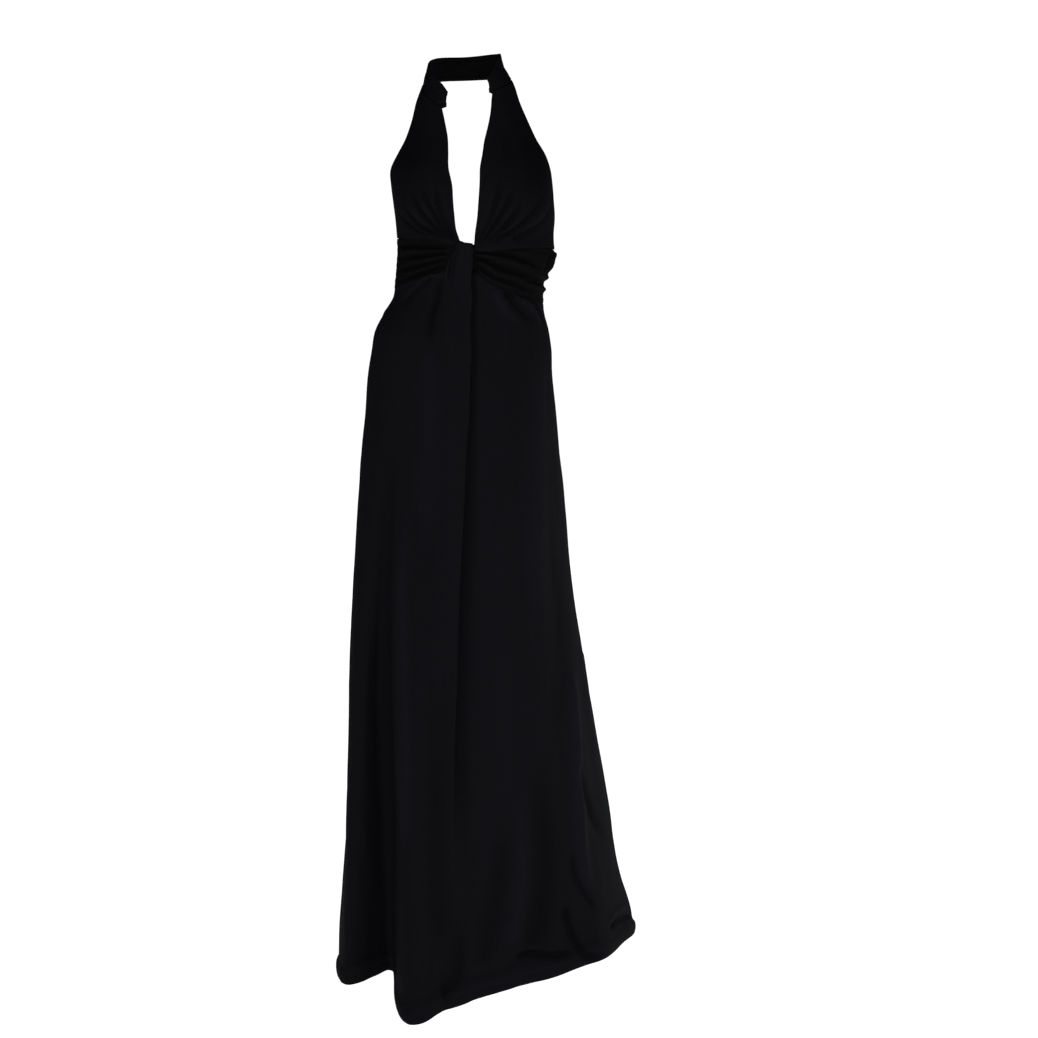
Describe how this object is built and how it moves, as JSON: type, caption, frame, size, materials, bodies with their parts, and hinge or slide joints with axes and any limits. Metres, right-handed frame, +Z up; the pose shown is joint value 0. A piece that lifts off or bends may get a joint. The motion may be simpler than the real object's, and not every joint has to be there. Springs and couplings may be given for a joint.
{
  "type": "halter dress",
  "caption": "Long black halter dress with a deep V front, ruched midriff, draped front pleat and flared skirt to the floor, held open as worn.",
  "frame": {"origin": "on the neck's upright axis, at the height of the neckband's middle, where the dress is held", "axes": "+Z up along the length, -Y out of the front, +X toward the wearer's left"},
  "size_m": [0.4935, 0.4112, 1.4949],
  "materials": {
    "skirt_jersey": "soft matte jersey",
    "midriff_jersey": "soft matte jersey",
    "bodice_jersey": "soft matte jersey"
  },
  "bodies": {
    "root": {"skirt_front": "skirt_jersey", "skirt_back": "skirt_jersey", "midriff_right": "midriff_jersey", "midriff_left": "midriff_jersey", "midriff_back": "midriff_jersey", "bodice_right": "bodice_jersey", "bodice_left": "bodice_jersey", "neckband": "bodice_jersey"}
  },
  "joints": []
}
